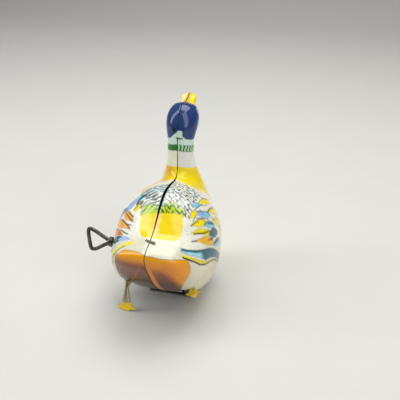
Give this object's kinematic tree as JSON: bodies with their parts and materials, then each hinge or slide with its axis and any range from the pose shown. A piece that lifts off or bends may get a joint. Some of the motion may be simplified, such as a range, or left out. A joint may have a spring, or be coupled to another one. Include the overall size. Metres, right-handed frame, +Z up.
{
  "type": "wind-up hopping duck",
  "caption": "Tinplate wind-up duck: two pressed shell halves over a spring motor with a wire side key, crank driven channel legs and webbed feet.",
  "frame": {"origin": "middle of the base plate's underside, the face the toy stands on", "axes": "+Z up, +Y towards the bill, +X to the duck's right; the key is on the left side"},
  "size_m": [0.0546, 0.0679, 0.0792],
  "materials": {
    "printed_tin": "glossy lithographed print on tinplate",
    "leg_paint": "glossy yellow enamel on tinplate",
    "bare_steel": "plain steel strip",
    "spring_steel": "blued spring steel",
    "brass": "dull stamped brass",
    "key_wire": "worn plated steel wire"
  },
  "bodies": {
    "body": {"body_shell_left": "printed_tin", "body_shell_right": "printed_tin", "base_plate": "bare_steel", "motor_plate_left": "bare_steel", "motor_plate_right": "bare_steel", "pillar_top": "bare_steel", "pillar_rear": "bare_steel", "pillar_front": "bare_steel", "mainspring": "spring_steel"},
    "winder": {"winding_key": "key_wire", "key_ferrule": "key_wire", "winding_arbor": "bare_steel", "ratchet_wheel": "bare_steel", "great_wheel": "brass", "click_rivet": "brass", "click_spring": "spring_steel"},
    "click": {"click": "bare_steel"},
    "second_arbor": {"second_shaft": "bare_steel", "second_pinion": "brass", "second_wheel": "brass"},
    "crankshaft": {"crank_shaft": "bare_steel", "crank_pinion": "brass", "crank_left": "bare_steel", "crank_right": "bare_steel", "pin_washer_left": "brass", "pin_washer_right": "brass"},
    "left_leg": {"leg_left": "leg_paint"},
    "right_leg": {"leg_right": "leg_paint"}
  },
  "joints": [
    {"name": "key_turn", "type": "hinge", "parent": "body", "child": "winder", "pos_m": [0, -0.0135, 0.028], "axis": [1, 0, 0], "continuous": true},
    {"name": "click_rock", "type": "hinge", "parent": "winder", "child": "click", "pos_m": [-0.002, -0.0157, 0.0218], "axis": [1, 0, 0], "range_deg": [-10, 0]},
    {"name": "second_arbor_spin", "type": "hinge", "parent": "body", "child": "second_arbor", "pos_m": [0, -0.00455, 0.01919], "axis": [1, 0, 0], "continuous": true},
    {"name": "crank_spin", "type": "hinge", "parent": "body", "child": "crankshaft", "pos_m": [0, -0.0155, 0.0155], "axis": [1, 0, 0], "continuous": true},
    {"name": "left_leg_pin", "type": "hinge", "parent": "crankshaft", "child": "left_leg", "pos_m": [-0.0128, -0.01832, 0.01447], "axis": [1, 0, 0], "continuous": true},
    {"name": "right_leg_pin", "type": "hinge", "parent": "crankshaft", "child": "right_leg", "pos_m": [0.0128, -0.01268, 0.01653], "axis": [1, 0, 0], "continuous": true}
  ],
  "couplings": [
    {"joint": "second_arbor_spin", "follows": "key_turn", "ratio": -3.1667},
    {"joint": "crank_spin", "follows": "key_turn", "ratio": 8.9722},
    {"joint": "left_leg_pin", "follows": "key_turn", "ratio": -8.9722},
    {"joint": "right_leg_pin", "follows": "key_turn", "ratio": -8.9722}
  ]
}
